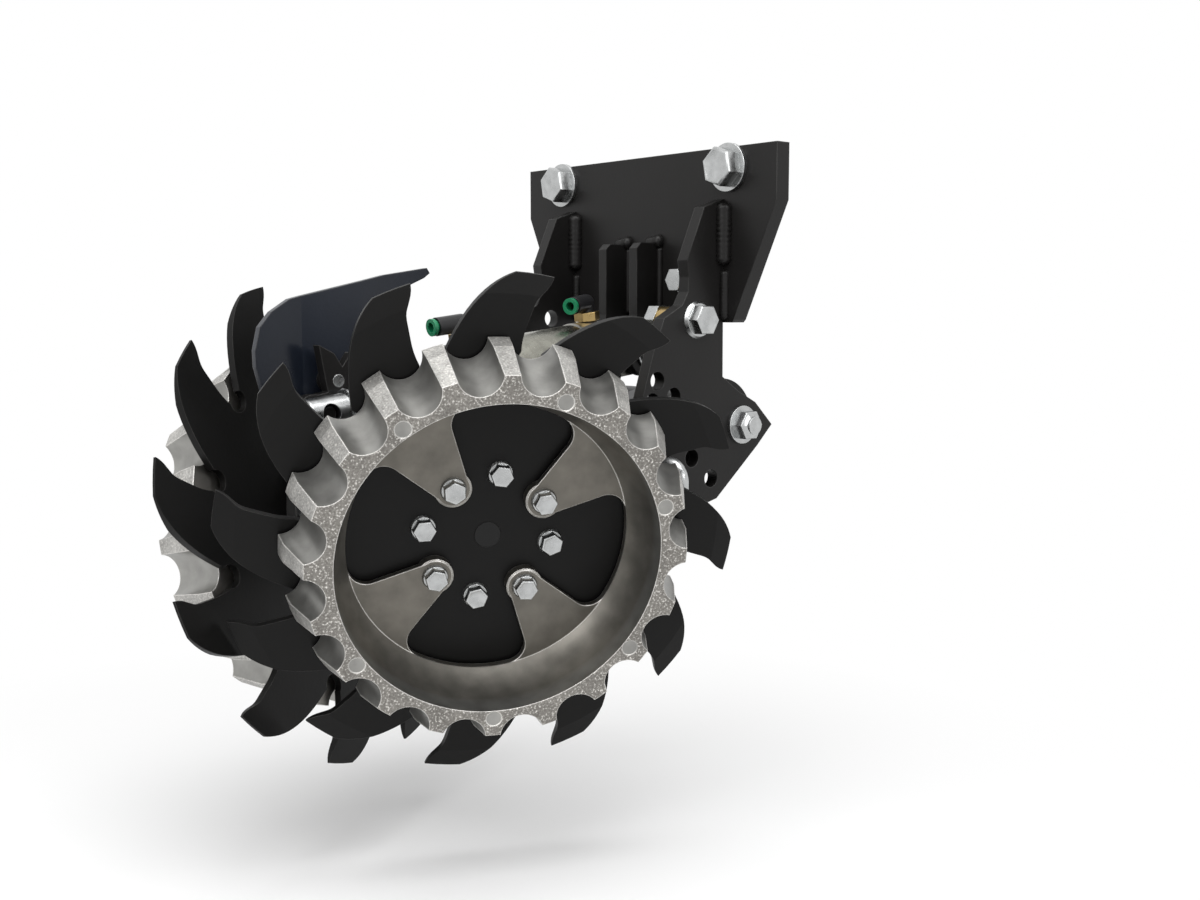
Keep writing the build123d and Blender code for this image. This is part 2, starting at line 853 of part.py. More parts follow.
# Cylinder along the line from the rear pin to the rod pin
span_y = rod_pin_place[0] - rear_pin_place[0]
span_z = rod_pin_place[1] - rear_pin_place[1]
pin_span = math.hypot(span_y, span_z)
cylinder_line = Plane(
    origin=(0, rear_pin_place[0], rear_pin_place[1]),
    x_dir=(1, 0, 0),
    z_dir=(0, span_y, span_z),
)
barrel_radius = 28.0
barrel_bore = 25.4
cap_radius = 29.0
rear_cap_start = 30.0
barrel_start = 52.0
barrel_end = 134.0
front_cap_end = 158.0
rod_radius = 8.0
tang_half = 12.5
rear_port = 35.5
front_port = 145.0
port_height = 35.0
base_radius = 5.0
swivel_radius = 4.0

with BuildPart() as barrel_tube:
    with BuildSketch(cylinder_line.offset(barrel_start)):
        Circle(barrel_radius)
        Circle(barrel_bore, mode=Mode.SUBTRACT)
    extrude(amount=barrel_end - barrel_start)
save(barrel_tube.part, "barrel_tube")


def port_plane(along, up, turn=0):
    # A plane square to the cylinder's upward direction, turned from the rod's direction to the left.
    point = cylinder_line.from_local_coords((0, up, along))
    forward = cylinder_line.z_dir
    aside = Vector(cosine(turn), 0, 0) - forward * sine(turn)
    return Plane(origin=point, x_dir=aside, z_dir=cylinder_line.y_dir)


with BuildPart() as rear_cap:
    with BuildSketch(cylinder_line.offset(rear_cap_start)):
        Circle(cap_radius)
    extrude(amount=barrel_start - rear_cap_start)
    chamfer(rear_cap.edges().filter_by(GeomType.CIRCLE), length=1.5)
    with BuildSketch(Plane.YZ.offset(-tang_half)):
        with Locations(rear_pin_place):
            Circle(14)
        with BuildLine():
            points = [(0, -14, 0), (0, -14, 33), (0, 14, 33), (0, 14, 0)]
            spots = [cylinder_line.from_local_coords(point) for point in points]
            Polyline(*[(point.Y, point.Z) for point in spots], close=True)
        make_face()
    extrude(amount=2 * tang_half)
    with BuildSketch(Plane.YZ.offset(-tang_half)):
        with Locations(rear_pin_place):
            Circle(bolt_half + fit_gap)
    extrude(amount=2 * tang_half, mode=Mode.SUBTRACT)
    with BuildSketch(port_plane(rear_port, cap_radius + 1)):
        Circle(base_radius + fit_gap)
    extrude(amount=-10, mode=Mode.SUBTRACT)
save(rear_cap.part, "rear_cap")

with BuildPart() as front_cap:
    with BuildSketch(cylinder_line.offset(barrel_end)):
        Circle(cap_radius)
    extrude(amount=front_cap_end - barrel_end)
    chamfer(front_cap.edges().filter_by(GeomType.CIRCLE), length=1.5)
    with BuildSketch(cylinder_line.offset(barrel_end)):
        Circle(rod_radius + fit_gap)
    extrude(amount=front_cap_end - barrel_end, mode=Mode.SUBTRACT)
    with BuildSketch(port_plane(front_port, cap_radius + 1)):
        Circle(base_radius + fit_gap)
    extrude(amount=-10, mode=Mode.SUBTRACT)
save(front_cap.part, "front_cap")

with BuildPart() as port_bases:
    for along in (rear_port, front_port):
        with BuildSketch(port_plane(along, cap_radius + 0.2)):
            RegularPolygon(8 * hex_side, 6)
        extrude(amount=port_height - cap_radius)
        with BuildSketch(port_plane(along, cap_radius + 0.2)):
            Circle(base_radius)
        extrude(amount=-8)
        with BuildSketch(port_plane(along, port_height + 1)):
            Circle(swivel_radius + fit_gap)
        extrude(amount=-12, mode=Mode.SUBTRACT)
save(port_bases.part, "port_bases")

# Rod with its piston, jam nut, rod end and wire clip
piston_start = 92.0
rod_stop = 239.0
rod_end_start = 227.0
rod_end_stop = 267.0
rod_end_radius = 10.5

with BuildPart() as piston:
    with BuildSketch(cylinder_line.offset(piston_start)):
        Circle(barrel_bore - fit_gap)
        Circle(rod_radius + fit_gap, mode=Mode.SUBTRACT)
    extrude(amount=18)
save(piston.part, "piston")

with BuildPart() as rod:
    with BuildSketch(cylinder_line.offset(piston_start)):
        Circle(rod_radius)
    extrude(amount=rod_stop - piston_start)
    chamfer(rod.edges().filter_by(GeomType.CIRCLE), length=0.6)
save(rod.part, "rod")

with BuildPart() as jam_nut:
    with BuildSketch(cylinder_line.offset(rod_end_start - 7)):
        RegularPolygon(11 * hex_side, 6)
        Circle(rod_radius + fit_gap, mode=Mode.SUBTRACT)
    extrude(amount=7)
save(jam_nut.part, "jam_nut")

with BuildPart() as rod_end:
    with BuildSketch(cylinder_line.offset(rod_end_start)):
        Circle(rod_end_radius)
    extrude(amount=rod_end_stop - rod_end_start)
    chamfer(rod_end.edges().filter_by(GeomType.CIRCLE), length=1)
    with BuildSketch(cylinder_line.offset(rod_end_start)):
        Circle(rod_radius + fit_gap)
    extrude(amount=rod_stop + 0.2 - rod_end_start, mode=Mode.SUBTRACT)
    with BuildSketch(Plane.YZ.offset(-rod_end_radius)):
        with Locations(rod_pin_place):
            Circle(6.3)
    extrude(amount=2 * rod_end_radius, mode=Mode.SUBTRACT)
save(rod_end.part, "rod_end")

wire_radius = 1.2

with BuildPart() as wire_clip:
    clip_plane = cylinder_line.offset(pin_span - 16)
    reach = rod_end_radius + wire_radius + 0.1
    aside = reach * cosine(20)
    below = -reach * sine(20)
    with BuildLine() as clip_line:
        ThreePointArc(
            clip_plane.from_local_coords((aside, below, 0)),
            clip_plane.from_local_coords((0, reach, 0)),
            clip_plane.from_local_coords((-aside, below, 0)),
        )
    with BuildSketch(Plane(origin=clip_line.line @ 0, z_dir=clip_line.line % 0)):
        RegularPolygon(wire_radius, 8)
    sweep()
save(wire_clip.part, "wire_clip")

# Push-in elbows that swivel in the brass bases, and their release collars
elbow_radius = 6.2
elbow_height = 12.8
collar_travel = 1.6


def elbow(along, turn, reach):
    base = port_plane(along, port_height + 0.3, turn)
    arm_line = Plane(
        origin=base.from_local_coords((0, 0, elbow_height - elbow_radius)),
        x_dir=base.x_dir,
        z_dir=-base.y_dir,
    )
    with BuildPart() as body:
        with BuildSketch(base):
            Circle(elbow_radius)
        extrude(amount=elbow_height - elbow_radius)
        with BuildSketch(arm_line):
            Circle(elbow_radius)
        extrude(amount=reach)
        with Locations(Location(arm_line.origin)):
            Sphere(elbow_radius)
        with BuildSketch(base):
            Circle(swivel_radius)
        extrude(amount=-10)
        with BuildSketch(arm_line.offset(reach)):
            Circle(4.6)
        extrude(amount=-9, mode=Mode.SUBTRACT)
    with BuildPart() as collar:
        with BuildSketch(arm_line.offset(reach + collar_travel)):
            Circle(5.8)
        extrude(amount=2.4)
        with BuildSketch(arm_line.offset(reach + collar_travel)):
            Circle(4.6 - fit_gap)
        extrude(amount=-6)
        with BuildSketch(arm_line.offset(reach - 6)):
            Circle(3.2)
        extrude(amount=20, mode=Mode.SUBTRACT)
    return body.part, collar.part


front_elbow, front_collar = elbow(front_port, 0, 20)
rear_elbow, rear_collar = elbow(rear_port, 21, 19)
save(front_elbow, "front_elbow")
save(front_collar, "front_collar")
save(rear_elbow, "rear_elbow")
save(rear_collar, "rear_collar")

# Bent stop pin pushed through the left hanger and into the stop plate's slot
pin_bend = 12.0
pin_engagement = 5.0
pin_start = stop_plate_outer - pin_engagement
pin_shoulder = hanger_outer + 24.5
handle_length = 42.0

with BuildPart() as stop_pin:
    with BuildLine():
        stop_y, stop_z = stop_pin_place
        FilletPolyline(
            (pin_start, stop_y, stop_z),
            (pin_shoulder, stop_y, stop_z),
            (pin_shoulder, stop_y, stop_z - handle_length),
            radius=pin_bend,
        )
    with BuildSketch(Plane.YZ.offset(pin_start)):
        with Locations(stop_pin_place):
            Circle(stop_pin_radius)
    sweep()
save(stop_pin.part, "stop_pin")
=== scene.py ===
import math

import bpy
from mathutils import Matrix, Vector


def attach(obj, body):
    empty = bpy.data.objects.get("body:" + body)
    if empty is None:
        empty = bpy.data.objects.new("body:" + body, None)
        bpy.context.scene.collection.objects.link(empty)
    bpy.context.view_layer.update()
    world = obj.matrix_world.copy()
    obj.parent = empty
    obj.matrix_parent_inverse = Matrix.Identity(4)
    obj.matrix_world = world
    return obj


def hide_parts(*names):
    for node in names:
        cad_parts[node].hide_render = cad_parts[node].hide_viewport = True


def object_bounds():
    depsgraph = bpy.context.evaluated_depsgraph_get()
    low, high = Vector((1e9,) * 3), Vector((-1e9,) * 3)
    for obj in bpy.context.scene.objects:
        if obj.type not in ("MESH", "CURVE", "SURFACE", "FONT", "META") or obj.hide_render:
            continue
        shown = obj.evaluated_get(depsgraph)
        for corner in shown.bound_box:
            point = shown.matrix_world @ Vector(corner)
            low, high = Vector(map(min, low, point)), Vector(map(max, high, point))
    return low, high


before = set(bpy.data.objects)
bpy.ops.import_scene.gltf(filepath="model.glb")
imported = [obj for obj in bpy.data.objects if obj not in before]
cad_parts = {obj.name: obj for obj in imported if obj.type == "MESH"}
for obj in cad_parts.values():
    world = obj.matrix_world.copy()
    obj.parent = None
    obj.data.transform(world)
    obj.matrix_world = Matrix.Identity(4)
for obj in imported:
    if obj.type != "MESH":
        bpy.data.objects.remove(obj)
cad_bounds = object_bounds()

# Camera
# It stands at the machine's front left and a little above the wheels' axles, looking slightly
# down and back along the planter row, as the photograph does.
camera_place = (0.7449, -0.6862, -0.0958)
camera_heading = 49.583
camera_dip = 6.062
photo_width = 1200
focal_pixels = 1339.6
camera_data = bpy.data.cameras.new("row_camera")
camera_data.sensor_width = 36
camera_data.lens = camera_data.sensor_width * focal_pixels / photo_width
camera_data.clip_end = 50
camera = bpy.data.objects.new("row_camera", camera_data)
camera.location = camera_place
camera.rotation_euler = (math.radians(90 - camera_dip), 0, math.radians(camera_heading))
bpy.context.scene.collection.objects.link(camera)
bpy.context.scene.camera = camera
bpy.context.scene.view_settings.view_transform = "Standard"


# Studio
# A plain white floor and surroundings, with three large soft panels. The floor keeps the object's
# shadow near it and turns plain white further out, for the camera and for reflections only.
def connect(tree, term, socket):
    if isinstance(term, bpy.types.NodeSocket):
        tree.links.new(term, socket)
    else:
        socket.default_value = term


def add_node(tree, kind, terms, **settings):
    node = tree.nodes.new(kind)
    for label, value in settings.items():
        setattr(node, label, value)
    for label, term in terms.items():
        connect(tree, term, node.inputs[label])
    return node


def calc(tree, operation, *terms):
    node = add_node(tree, "ShaderNodeMath", dict(enumerate(terms)), operation=operation)
    return node.outputs["Value"]


def vector_calc(tree, operation, answer, *terms):
    node = add_node(tree, "ShaderNodeVectorMath", dict(enumerate(terms)), operation=operation)
    return node.outputs[answer]


def ramp(tree, value, low, high):
    # From 0 at low to 1 at high, where low may be the larger one.
    terms = {"Value": value, "From Min": low, "From Max": high}
    return add_node(tree, "ShaderNodeMapRange", terms).outputs["Result"]


def shows_white(tree):
    ray = tree.nodes.new("ShaderNodeLightPath").outputs
    seen = calc(tree, "MAXIMUM", ray["Is Camera Ray"], ray["Is Glossy Ray"])
    return calc(tree, "MAXIMUM", seen, ray["Is Transmission Ray"])


world = bpy.data.worlds.new("studio_world")
bpy.context.scene.world = world
world.use_nodes = True
sky = world.node_tree
sky.nodes.clear()
lit = add_node(sky, "ShaderNodeBackground", {"Color": (1, 1, 1, 1), "Strength": 0.5})
seen = add_node(sky, "ShaderNodeBackground", {"Color": (1, 1, 1, 1), "Strength": 1.0})
surroundings = add_node(
    sky, "ShaderNodeMixShader", {0: shows_white(sky), 1: lit.outputs[0], 2: seen.outputs[0]}
)
add_node(sky, "ShaderNodeOutputWorld", {"Surface": surroundings.outputs[0]})

bpy.ops.object.select_all(action="DESELECT")
floor_drop = 0.06
floor_height = cad_bounds[0][2] - floor_drop
bpy.ops.mesh.primitive_plane_add(size=14, location=(0, 0, floor_height))
floor = bpy.context.object
floor.name = "studio_floor"
floor_paint = bpy.data.materials.new("studio_floor")
floor_paint.use_nodes = True
paint = floor_paint.node_tree
floor_shader = paint.nodes["Principled BSDF"]
floor_shader.inputs["Base Color"].default_value = (0.9, 0.9, 0.9, 1)
floor_shader.inputs["Roughness"].default_value = 0.9
floor_shader.inputs["Specular IOR Level"].default_value = 0.1
floor_spot = paint.nodes.new("ShaderNodeTexCoord").outputs["Object"]
shadow_middle = (0, -0.24, 0)
from_middle = vector_calc(paint, "DISTANCE", "Value", floor_spot, shadow_middle)
white_share = calc(paint, "MULTIPLY", ramp(paint, from_middle, 0.1, 0.62), shows_white(paint))
plain_white = add_node(paint, "ShaderNodeEmission", {"Color": (1, 1, 1, 1), "Strength": 1.0})
floor_mix = add_node(
    paint,
    "ShaderNodeMixShader",
    {0: white_share, 1: floor_shader.outputs[0], 2: plain_white.outputs[0]},
)
connect(paint, floor_mix.outputs[0], paint.nodes["Material Output"].inputs["Surface"])
floor.data.materials.append(floor_paint)


def light_panel(name, place, target, width, height, power):
    data = bpy.data.lights.new(name, "AREA")
    data.shape = "RECTANGLE"
    data.size = width
    data.size_y = height
    data.energy = power
    panel = bpy.data.objects.new(name, data)
    panel.location = place
    panel.rotation_euler = (Vector(target) - Vector(place)).to_track_quat("-Z", "Y").to_euler()
    bpy.context.scene.collection.objects.link(panel)


row_middle = (0, -0.22, -0.2)
light_panel("top_panel", (0.4, -0.5, 1.6), row_middle, 1.8, 1.2, 26)
light_panel("front_panel", (0.3, -2.0, 0.9), row_middle, 1.4, 0.9, 16)
light_panel("left_panel", (1.9, -0.1, 0.9), row_middle, 1.0, 1.0, 12)

# Mount plate, hangers, ears and stop plate
# Thick steel plates cut to shape and welded together: the face plate that bolts to the row unit,
# the two hangers that carry the arm's pivot and the pair of ears for the cylinder. One coat of
# satin black powder paint covers them, a little wavy. The cut edges are painted paler, partly as
# thin paint and partly as a painted highlight.
socket_kinds = {
    "Color": "NodeSocketColor",
    "Worn Color": "NodeSocketColor",
    "Normal": "NodeSocketVector",
    "Center": "NodeSocketVector",
    "Axis": "NodeSocketVector",
}


def effect_group(name, inputs, outputs):
    group = bpy.data.node_groups.new(name, "ShaderNodeTree")
    for way, labels in (("INPUT", inputs), ("OUTPUT", outputs)):
        for label in labels:
            kind = socket_kinds.get(label, "NodeSocketFloat")
            group.interface.new_socket(name=label, in_out=way, socket_type=kind)
    asked = group.nodes.new("NodeGroupInput").outputs
    given = group.nodes.new("NodeGroupOutput").inputs
    return group, asked, given


def noise(tree, scale, detail):
    place = tree.nodes.new("ShaderNodeTexCoord").outputs["Object"]
    terms = {"Vector": place, "Scale": scale, "Detail": detail}
    return add_node(tree, "ShaderNodeTexNoise", terms).outputs["Fac"]


def blend_colors(tree, share, first, second):
    terms = {"Factor": share, "A": first, "B": second}
    return add_node(tree, "ShaderNodeMix", terms, data_type="RGBA").outputs["Result"]


def scaled_color(tree, color, amount):
    node = add_node(tree, "ShaderNodeVectorMath", {0: color, 3: amount}, operation="SCALE")
    return node.outputs["Vector"]


def bumped(tree, height, strength, distance, normal):
    terms = {"Height": height, "Strength": strength, "Distance": distance, "Normal": normal}
    return add_node(tree, "ShaderNodeBump", terms).outputs["Normal"]


edge_rounding, asked, given = effect_group("edge_rounding", ["Radius"], ["Normal", "Edge"])
rounder = add_node(edge_rounding, "ShaderNodeBevel", {"Radius": asked["Radius"]}, samples=6)
rounded = rounder.outputs["Normal"]
straight = edge_rounding.nodes.new("ShaderNodeNewGeometry").outputs["Normal"]
likeness = vector_calc(edge_rounding, "DOT_PRODUCT", "Value", rounded, straight)
connect(edge_rounding, rounded, given["Normal"])
connect(edge_rounding, ramp(edge_rounding, likeness, 0.99, 0.86), given["Edge"])


def rounded_edges(tree, radius):
    node = tree.nodes.new("ShaderNodeGroup")
    node.node_tree = edge_rounding
    connect(tree, radius, node.inputs["Radius"])
    return node.outputs["Normal"], node.outputs["Edge"]


powder_coat, asked, given = effect_group(
    "powder_coat",
    ["Color", "Worn Color", "Roughness", "Radius"],
    ["Color", "Roughness", "Normal"],
)
normal, edge = rounded_edges(powder_coat, asked["Radius"])
waves = noise(powder_coat, 420, 2)
haze = noise(powder_coat, 22, 5)
# The edges are painted paler: partly thin paint and partly a painted highlight on their rounding.
thin_paint_and_edge_highlight = calc(powder_coat, "MULTIPLY", edge, ramp(powder_coat, haze, 0.35, 0.65))
clouded = scaled_color(powder_coat, asked["Color"], ramp(powder_coat, haze, -1.2, 0.9))
connect(
    powder_coat,
    blend_colors(powder_coat, thin_paint_and_edge_highlight, clouded, asked["Worn Color"]),
    given["Color"],
)
haze_gloss = calc(powder_coat, "MULTIPLY_ADD", haze, 0.16, asked["Roughness"])
connect(powder_coat, haze_gloss, given["Roughness"])
connect(powder_coat, bumped(powder_coat, waves, 0.14, 0.0004, normal), given["Normal"])


def grouped_material(name, group, values, **shader_values):
    made = bpy.data.materials.new(name)
    made.use_nodes = True
    tree = made.node_tree
    shader = tree.nodes["Principled BSDF"]
    effect = tree.nodes.new("ShaderNodeGroup")
    effect.node_tree = group
    for label, value in values.items():
        effect.inputs[label].default_value = value
    for label, value in shader_values.items():
        shader.inputs[label.replace("_", " ")].default_value = value
    for label, output in effect.outputs.items():
        tree.links.new(output, shader.inputs["Base Color" if label == "Color" else label])
    return made


def finish_nodes(material, slot, *names):
    for name in names:
        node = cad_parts[name]
        node.data.materials.clear()
        node.data.materials.append(material)


frame_paint = grouped_material(
    "frame_black_paint",
    powder_coat,
    {
        "Color": (0.0115, 0.0108, 0.0105, 1),
        "Worn Color": (0.07, 0.07, 0.068, 1),
        "Roughness": 0.3,
        "Radius": 0.0011,
    },
    Specular_IOR_Level=0.22,
)
finish_nodes(
    frame_paint,
    "black_paint",
    "mount_plate",
    "left_hanger",
    "right_hanger",
    "clevis_ears",
    "stop_plate",
)


# Welds of the mount
# Beads laid by hand in the corners between the plate, the hangers and the ears, rippled where
# the pool was moved on, and painted over with the rest.
def weld_bead(name, body, start, end, radius):
    start, end = Vector(start), Vector(end)
    length = (end - start).length
    rings = 2 * max(3, round(length / (0.55 * radius)))
    end_size = 0.5
    bpy.ops.object.select_all(action="DESELECT")
    bpy.ops.mesh.primitive_circle_add(vertices=12, radius=end_size * radius, fill_type="NGON")
    bead = bpy.context.object
    bead.name = name
    bpy.ops.object.mode_set(mode="EDIT")
    bpy.ops.mesh.select_all(action="SELECT")
    size = end_size
    for ring in range(1, rings + 1):
        wanted = 0.9 + 0.1 * (-1) ** ring + 0.05 * math.sin(2.7 * ring)
        if ring == rings:
            wanted = end_size
        step = (0, 0, length / rings)
        bpy.ops.mesh.extrude_region_move(TRANSFORM_OT_translate={"value": step})
        grow = wanted / size
        middle = (0, 0, ring * length / rings)
        bpy.ops.transform.resize(value=(grow, grow, 1), center_override=middle)
        size = wanted
    bpy.ops.mesh.select_all(action="SELECT")
    bpy.ops.mesh.normals_make_consistent(inside=False)
    bpy.ops.object.mode_set(mode="OBJECT")
    bead.location = start
    bead.rotation_euler = (end - start).to_track_quat("Z", "Y").to_euler()
    bpy.ops.object.transform_apply(location=True, rotation=True, scale=True)
    bpy.ops.object.shade_smooth()
    bead.data.materials.append(frame_paint)
    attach(bead, body)


plate_front = -0.012
hanger_sides = (0.076, 0.0855)
for hand, side in ((1, "left"), (-1, "right")):
    for number, across in enumerate(hanger_sides):
        corner = hand * (across - 0.0015 + 0.003 * number)
        weld_bead(
            f"{side}_hanger_weld_{number}",
            "mount",
            (corner, plate_front - 0.0015, -0.024),
            (corner, plate_front - 0.0015, -0.066),
            0.0065,
        )
        weld_bead(
            f"{side}_hanger_low_weld_{number}",
            "mount",
            (corner, plate_front, -0.07),
            (corner, plate_front, -0.104),
            0.004,
        )
    ear_middle = hand * 0.017
    weld_bead(
        f"{side}_ear_top_weld",
        "mount",
        (ear_middle - 0.0075, plate_front - 0.001, -0.049),
        (ear_middle + 0.0075, plate_front - 0.001, -0.0475),
        0.0052,
    )
    for number, across in enumerate((0.013, 0.021)):
        weld_bead(
            f"{side}_ear_weld_{number}",
            "mount",
            (hand * across, plate_front, -0.052),
            (hand * across, plate_front, -0.1),
            0.0035,
        )

# Plated bolts, nuts and washers of the mount
# Cold-headed steel, bright zinc plated: two large bolts that hold the plate to the row unit, the
# cross bolt, the lock nut on the pivot bolt and the small bolt in the plate.
plating, asked, given = effect_group(
    "plating", ["Color", "Roughness", "Radius"], ["Color", "Roughness", "Normal"]
)
normal, edge = rounded_edges(plating, asked["Radius"])
smudges = noise(plating, 160, 5)
grain = noise(plating, 1400, 3)
dulled = scaled_color(plating, asked["Color"], ramp(plating, smudges, -1.0, 0.75))
polished = scaled_color(plating, asked["Color"], 1.25)
connect(plating, blend_colors(plating, edge, dulled, polished), given["Color"])
smudge_gloss = calc(plating, "MULTIPLY_ADD", smudges, 0.25, asked["Roughness"])
connect(plating, smudge_gloss, given["Roughness"])
connect(plating, bumped(plating, grain, 0.2, 0.00012, normal), given["Normal"])

zinc = grouped_material(
    "bright_zinc",
    plating,
    {"Color": (0.55, 0.56, 0.56, 1), "Roughness": 0.16, "Radius": 0.0006},
    Metallic=1.0,
)
hex_side = 2 / math.sqrt(3)


def select_by_height(piece, low, high, kind):
    bpy.ops.mesh.select_all(action="DESELECT")
    bpy.ops.object.mode_set(mode="OBJECT")
    for part in getattr(piece.data, kind):
        heights = [piece.data.vertices[index].co.z for index in part.vertices]
        part.select = low < min(heights) and max(heights) < high
    bpy.ops.object.mode_set(mode="EDIT")


def bolt_head(name, across, height, flange_radius, flange_height, crown):
    # It stands on the plane z = 0 and points along +Z. A minus crown is a dished top.
    bpy.ops.object.select_all(action="DESELECT")
    bpy.ops.mesh.primitive_cylinder_add(
        vertices=6,
        radius=across / 2 * hex_side,
        depth=height - flange_height,
        location=(0, 0, (height + flange_height) / 2),
    )
    head = bpy.context.object
    head.name = name
    bpy.ops.object.transform_apply(location=True, rotation=True, scale=True)
    bpy.ops.object.mode_set(mode="EDIT")
    bpy.ops.mesh.select_mode(type="FACE")
    select_by_height(head, height - 1e-5, height + 1e-5, "polygons")
    bpy.ops.mesh.bevel(offset=0.07 * across, segments=2, affect="EDGES")
    select_by_height(head, height - 1e-5, height + 1e-5, "polygons")
    bpy.ops.mesh.inset(thickness=0.1 * across)
    bpy.ops.transform.translate(value=(0, 0, crown))
    bpy.ops.object.mode_set(mode="OBJECT")
    if flange_height:
        bpy.ops.mesh.primitive_cone_add(
            vertices=40,
            radius1=flange_radius,
            radius2=0.5 * (flange_radius + across / 2),
            depth=flange_height,
            location=(0, 0, flange_height / 2),
        )
        bpy.ops.object.transform_apply(location=True, rotation=True, scale=True)
        head.select_set(True)
        bpy.context.view_layer.objects.active = head
        bpy.ops.object.join()
    return head


def add_shank(head, radius, start, end):
    bpy.ops.object.select_all(action="DESELECT")
    bpy.ops.mesh.primitive_cylinder_add(
        vertices=32, radius=radius, depth=end - start, location=(0, 0, (start + end) / 2)
    )
    bpy.ops.object.transform_apply(location=True, rotation=True, scale=True)
    head.select_set(True)
    bpy.context.view_layer.objects.active = head
    bpy.ops.object.join()


def placed_copies(name, model, places):
    twins = []
    for place in places:
        twin = model.copy()
        twin.data = model.data.copy()
        bpy.context.scene.collection.objects.link(twin)
        twin.matrix_world = place
        twins.append(twin)
    bpy.data.objects.remove(model)
    bpy.ops.object.select_all(action="DESELECT")
    for twin in twins:
        twin.select_set(True)
    bpy.context.view_layer.objects.active = twins[0]
    bpy.ops.object.transform_apply(location=True, rotation=True, scale=True)
    if len(twins) > 1:
        bpy.ops.object.join()
    joined = bpy.context.object
    joined.name = name
    bpy.ops.object.shade_smooth_by_angle(angle=math.radians(32))
    return joined


def plated_piece(piece, body, *nodes):
    piece.data.materials.clear()
    piece.data.materials.append(zinc)
    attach(piece, body)
    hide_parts(*nodes)


inch = 0.0254
toward_front = Matrix.Rotation(math.radians(90), 4, "X")
toward_left = Matrix.Rotation(math.radians(90), 4, "Y")

mount_bolt_x = 0.0905
washer_face = -0.015
mount_bolt_turn = Matrix.Rotation(math.radians(11), 4, "Z")
mount_bolt = bolt_head("mount_bolt", 15 / 16 * inch, 0.011, 0, 0, -0.0009)
add_shank(mount_bolt, 5 / 16 * inch - 0.00045, washer_face, 0.0)
add_shank(mount_bolt, 5 / 16 * inch, washer_face - 0.022, washer_face)
mount_bolts = placed_copies(
    "mount_hex_bolts",
    mount_bolt,
    [
        Matrix.Translation((x, washer_face, 0)) @ toward_front @ mount_bolt_turn
        for x in (mount_bolt_x, -mount_bolt_x)
    ],
)
plated_piece(mount_bolts, "mount", "mount_bolts")

hanger_face = 0.0855
cross_place = (hanger_face, -0.0367, -0.1041)
cross_bolt = bolt_head("cross_bolt_head", 0.75 * inch, 0.0105, 0.013, 0.0025, -0.0007)
add_shank(cross_bolt, 0.25 * inch, -0.0455, 0.0)
cross_bolt = placed_copies(
    "cross_hex_bolt", cross_bolt, [Matrix.Translation(cross_place) @ toward_left]
)
plated_piece(cross_bolt, "mount", "cross_bolt")

lock_nut_place = (hanger_face + 0.0025, 0.0072, -0.1785)
lock_nut = bolt_head("lock_nut", 0.75 * inch, 0.0085, 0, 0, 0.0015)
add_shank(lock_nut, 0.0062, 0.0086, 0.0118)
lock_nut = placed_copies(
    "pivot_lock_nut", lock_nut, [Matrix.Translation(lock_nut_place) @ toward_left]
)
plated_piece(lock_nut, "mount", "pivot_nut")

finish_nodes(
    zinc,
    "zinc",
    "mount_washers",
    "plate_bolt",
    "pivot_washers",
    "pivot_bolt",
    "cross_nut",
    "clevis_pin",
    "clevis_clip",
)
brass = grouped_material(
    "brass",
    plating,
    {"Color": (0.56, 0.4, 0.17, 1), "Roughness": 0.18, "Radius": 0.0005},
    Metallic=1.0,
)
machined_steel = grouped_material(
    "machined_steel",
    plating,
    {"Color": (0.4, 0.4, 0.39, 1), "Roughness": 0.22, "Radius": 0.0005},
    Metallic=1.0,
)
finish_nodes(brass, "brass", "cross_spacer")
finish_nodes(machined_steel, "machined_steel", "pivot_sleeve")

# Stop pin
# A round bar bent to a handle, zinc plated. It is pushed through the left hanger into the stop
# plate's slot and limits how far the arm swings.
finish_nodes(zinc, "zinc", "stop_pin")

# Swinging arm
# A thick sloping bar welded to its pivot tube, with the upright for the cylinder's rod and the two
# spindles for the wheels. It is painted with the mount, and turns on two bronze bushings.
finish_nodes(frame_paint, "black_paint", "arm_bar", "pivot_tube", "rod_upright", "rod_pin")
bronze = grouped_material(
    "bronze",
    plating,
    {"Color": (0.42, 0.27, 0.12, 1), "Roughness": 0.3, "Radius": 0.0004},
    Metallic=1.0,
)
finish_nodes(bronze, "bronze", "pivot_bushings")
finish_nodes(machined_steel, "machined_steel", "left_spindle", "right_spindle")
finish_nodes(zinc, "zinc", "spindle_nuts")

# Bent sheet beside the rod
# Steel sheet cut and bent to keep residue off the cylinder, in smoother black paint. The faint
# blue tint in its colour is a painted reflection, and two small bolts hold it to the upright.
sheet_paint_blue_reflection = grouped_material(
    "deflector_paint",
    powder_coat,
    {
        # The black is tinted blue as a painted reflection.
        "Color": (0.013, 0.017, 0.027, 1),
        "Worn Color": (0.1, 0.1, 0.1, 1),
        "Roughness": 0.22,
        "Radius": 0.0012,
    },
    Specular_IOR_Level=0.35,
)
finish_nodes(sheet_paint_blue_reflection, "deflector_paint", "deflector")
finish_nodes(zinc, "zinc", "deflector_bolts")

